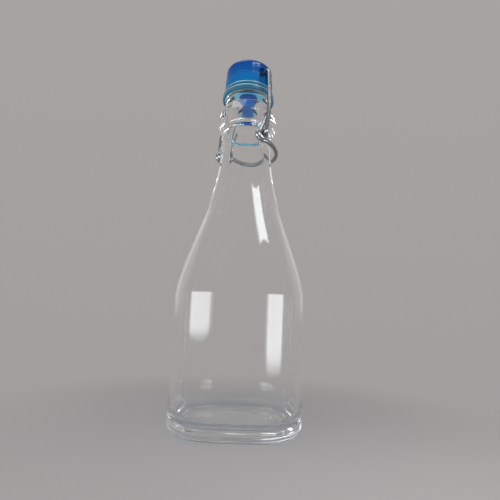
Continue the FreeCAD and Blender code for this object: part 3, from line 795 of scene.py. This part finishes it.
def lever_half(side):
    """One half of the lever, from the pin to the middle of the handle, in the closure's axes."""
    to_pivot = Vector((-EYE_FRONT, PIVOT_HEIGHT - EYE_HEIGHT))
    coil_start = math.atan2(to_pivot.y, to_pivot.x) + math.acos(EYE_RADIUS / to_pivot.length)
    crossing_end = coil_start + math.tau
    splay = BACK_SPLAY if side < 0 else 0
    link_side = LINK_SIDE + splay
    coil_side = COIL_INNER_SIDE + splay
    coil = []
    for angle in spaced(coil_start, COIL_END, COIL_STEPS):
        shift = ease((angle - COIL_CROSSING) / (crossing_end - COIL_CROSSING))
        coil.append(Vector((link_side + (coil_side - link_side) * shift,
                            EYE_FRONT + EYE_RADIUS * math.cos(angle),
                            EYE_HEIGHT + EYE_RADIUS * math.sin(angle))))
    pin = Vector((PIN_END, 0, PIVOT_HEIGHT))
    link = bent([pin, Vector((link_side, 0, PIVOT_HEIGHT)), coil[0]], [LINK_BEND])
    low = EYE_HEIGHT - EYE_RADIUS
    leaving = []
    for share in spaced(0, 1, LEAVING_STEPS)[1:]:
        leaving.append(Vector((coil_side + (HANDLE_SIDE - coil_side) * ease(share),
                               EYE_FRONT + (HANDLE_TURN - EYE_FRONT) * share, low)))
    ring = []
    for angle in spaced(0, math.pi / 2, HANDLE_STEPS)[1:]:
        ring.append(Vector((HANDLE_SIDE - HANDLE_BEND * (1 - math.cos(angle)),
                            HANDLE_TURN + HANDLE_BEND * math.sin(angle),
                            low - HANDLE_DIP * math.sin(angle))))
    ring.append(Vector((0, HANDLE_TURN + HANDLE_BEND, low - HANDLE_DIP)))
    return [Vector((side * p.x, p.y, p.z)) for p in link[:-1] + coil + leaving + ring]


lever_places = lever_half(1) + list(reversed(lever_half(-1)))[1:]
lever = grown("lever_steel", line_mesh("lever_line", [across(*p) for p in lever_places]), drawn_wire,
              {"Radius": WIRE_RADIUS * MM, "Points Round": WIRE_POINTS_ROUND, "Material": steel})
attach(lever, "lever")
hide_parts("lever_wire")

# Floor and backdrop: one pale grey sheet that curves up behind the bottle. They are not part of the bottle.
SHEET_HALF_WIDTH = 2.0
SHEET_FRONT = -1.6
SHEET_BACK = 1.1
SHEET_CURVE = 0.5
SHEET_TOP = 2.2
SHEET_PALE = (0.334, 0.311, 0.302, 1)
SHEET_DARK = (0.315, 0.293, 0.285, 1)
SEEN_LOW = (0.362, 0.346, 0.341, 1)
SEEN_HIGH = (0.385, 0.366, 0.359, 1)
SEEN_TOP = 1.0
EVEN_START = 0.05
EVEN_END = 0.22
SHEET_ROUGH = 0.9
SHEET_MOTTLE_SCALE = 6.0
SHEET_ARC_STEPS = 24


def looked_at(tree):
    """1 for what is seen, by itself or in a mirror or through glass, and 0 for what only gives light."""
    path = tree.nodes.new("ShaderNodeLightPath").outputs
    mirrored = math_node(tree, "MAXIMUM", path["Is Glossy Ray"], path["Is Transmission Ray"])
    return math_node(tree, "MAXIMUM", path["Is Camera Ray"], mirrored)


def grey_sheet():
    """Matt paper, faintly mottled. Lit by the lamps near the bottle, and an even pale grey further away."""
    made, tree, shader, coordinates = new_material("grey_sheet")
    value, _ = uneven(tree, coordinates, SHEET_MOTTLE_SCALE)
    tree.links.new(mixed(tree, value, SHEET_DARK, SHEET_PALE), shader.inputs["Base Color"])
    shader.inputs["Roughness"].default_value = SHEET_ROUGH
    rise = ranged(tree, height_above(tree, coordinates), 0.0, SEEN_TOP)
    even = put(tree, "ShaderNodeEmission", {"Color": mixed(tree, rise, SEEN_LOW, SEEN_HIGH)}).outputs[0]
    away = put(tree, "ShaderNodeVectorMath", {0: coordinates}, operation="LENGTH").outputs["Value"]
    far = put(tree, "ShaderNodeMapRange", {"Value": away, "From Min": EVEN_START, "From Max": EVEN_END},
              interpolation_type="SMOOTHSTEP").outputs[0]
    share = math_node(tree, "MULTIPLY", looked_at(tree), far)
    surface = put(tree, "ShaderNodeMixShader", {0: share, 1: shader.outputs[0], 2: even}).outputs[0]
    tree.links.new(surface, tree.nodes["Material Output"].inputs["Surface"])
    return made


sheet_corners = [(SHEET_FRONT, 0, 0), (SHEET_BACK, 0, SHEET_CURVE), (SHEET_BACK, SHEET_TOP, 0)]
sheet_line = rounded(sheet_corners, SHEET_ARC_STEPS)
sheet_verts = [(side * SHEET_HALF_WIDTH, p.x, p.y) for side in (-1, 1) for p in sheet_line]
sheet_count = len(sheet_line)
sheet_faces = [(i, sheet_count + i, sheet_count + i + 1, i + 1) for i in range(sheet_count - 1)]
sheet_mesh = bpy.data.meshes.new("grey_sheet")
sheet_mesh.from_pydata(sheet_verts, [], sheet_faces)
sheet_mesh.shade_smooth()
sheet_mesh.materials.append(grey_sheet())
shown("grey_sheet", sheet_mesh)

# Light: a soft even room, a low window on each side in front, a pale wall on each side behind, a ceiling, and
# a small skylight that only glints in what is shiny.
ROOM_COLOUR = (0.80, 0.82, 0.85, 1)
ROOM_STRENGTH = 0.62
DAYLIGHT = (0.94, 0.97, 1.0)
SOFT_EDGE = 0.16
world = bpy.data.worlds.new("room")
bpy.context.scene.world = world
world.use_nodes = True
room = world.node_tree
room_light = room.nodes["Background"]
room_light.inputs["Color"].default_value = ROOM_COLOUR
room_light.inputs["Strength"].default_value = ROOM_STRENGTH
room_seen = put(room, "ShaderNodeBackground", {"Color": SEEN_LOW})
room_view = put(room, "ShaderNodeMixShader",
                {0: looked_at(room), 1: room_light.outputs[0], 2: room_seen.outputs[0]})
room.links.new(room_view.outputs[0], room.nodes["World Output"].inputs["Surface"])


def softbox(name, place, aim, wide, tall, watts):
    """A rectangular soft lamp at a place, turned towards a point, and dimmer towards its edges."""
    lamp = bpy.data.lights.new(name, "AREA")
    lamp.shape = "RECTANGLE"
    lamp.size = wide
    lamp.size_y = tall
    lamp.energy = watts
    lamp.color = DAYLIGHT
    lamp.use_nodes = True
    tree = lamp.node_tree
    across_lamp = tree.nodes.new("ShaderNodeNewGeometry").outputs["Parametric"]
    spot = put(tree, "ShaderNodeSeparateXYZ", {0: across_lamp}).outputs
    glow = 1.0
    for side in ("X", "Y"):
        nearest = math_node(tree, "MINIMUM", spot[side], math_node(tree, "SUBTRACT", 1.0, spot[side]))
        fade = put(tree, "ShaderNodeMapRange", {"Value": nearest, "From Max": SOFT_EDGE},
                   interpolation_type="SMOOTHSTEP").outputs[0]
        glow = math_node(tree, "MULTIPLY", fade, glow)
    tree.links.new(glow, tree.nodes["Emission"].inputs["Strength"])
    made = shown(name, lamp)
    made.location = place
    made.rotation_mode = "QUATERNION"
    made.rotation_quaternion = (Vector(place) - Vector(aim)).to_track_quat("Z", "Y")
    made.visible_camera = False
    made.visible_transmission = False
    return made


softbox("left_window", place=(-0.39, -0.43, 0.09), aim=(0, 0, 0.07), wide=0.76, tall=0.19, watts=4.4)
softbox("right_window", place=(0.18, -0.25, 0.066), aim=(0, 0, 0.062), wide=0.28, tall=0.14, watts=1.35)
softbox("left_wall", place=(-0.63, 0.385, 0.30), aim=(0, 0, 0.1), wide=0.84, tall=0.56, watts=0.72)
softbox("right_wall", place=(0.63, 0.385, 0.30), aim=(0, 0, 0.1), wide=0.84, tall=0.56, watts=0.6)
softbox("ceiling", place=(-0.3, -0.2, 1.2), aim=(0, 0, 0.1), wide=0.9, tall=0.9, watts=6.0)
glint = softbox("skylight", place=(0.33, -0.503, 0.79), aim=(0, 0, 0.13), wide=0.50, tall=0.09, watts=1.8)
glint.visible_diffuse = False

# Camera: low in front of the bottle, a phone's wide lens tilted up, held a little askew.
CAMERA_PLACE = Vector((0.11, -229.2, 60.45))
CAMERA_AZIMUTH = math.radians(1.28)
CAMERA_PITCH = math.radians(10.26)
CAMERA_ROLL = math.radians(2.31)
CAMERA_LENS = 26.83
CAMERA_SENSOR = 36.0
CAMERA_SHIFT_UP = 0.004
CAMERA_NEAR = 10.0
forward = Vector((math.sin(CAMERA_AZIMUTH) * math.cos(CAMERA_PITCH),
                  math.cos(CAMERA_AZIMUTH) * math.cos(CAMERA_PITCH), math.sin(CAMERA_PITCH)))
level_right = forward.cross(Vector((0, 0, 1))).normalized()
level_up = level_right.cross(forward)
right = level_right * math.cos(CAMERA_ROLL) + level_up * math.sin(CAMERA_ROLL)
up = level_up * math.cos(CAMERA_ROLL) - level_right * math.sin(CAMERA_ROLL)
camera_data = bpy.data.cameras.new("camera")
camera_data.sensor_width = CAMERA_SENSOR
camera_data.lens = CAMERA_LENS
camera_data.shift_y = CAMERA_SHIFT_UP
camera_data.clip_start = CAMERA_NEAR * MM
camera = shown("camera", camera_data)
camera_turn = Matrix((right, up, -forward)).transposed().to_4x4()
camera.matrix_world = Matrix.Translation(CAMERA_PLACE * MM) @ camera_turn
bpy.context.scene.camera = camera
bpy.context.scene.view_settings.view_transform = "Standard"
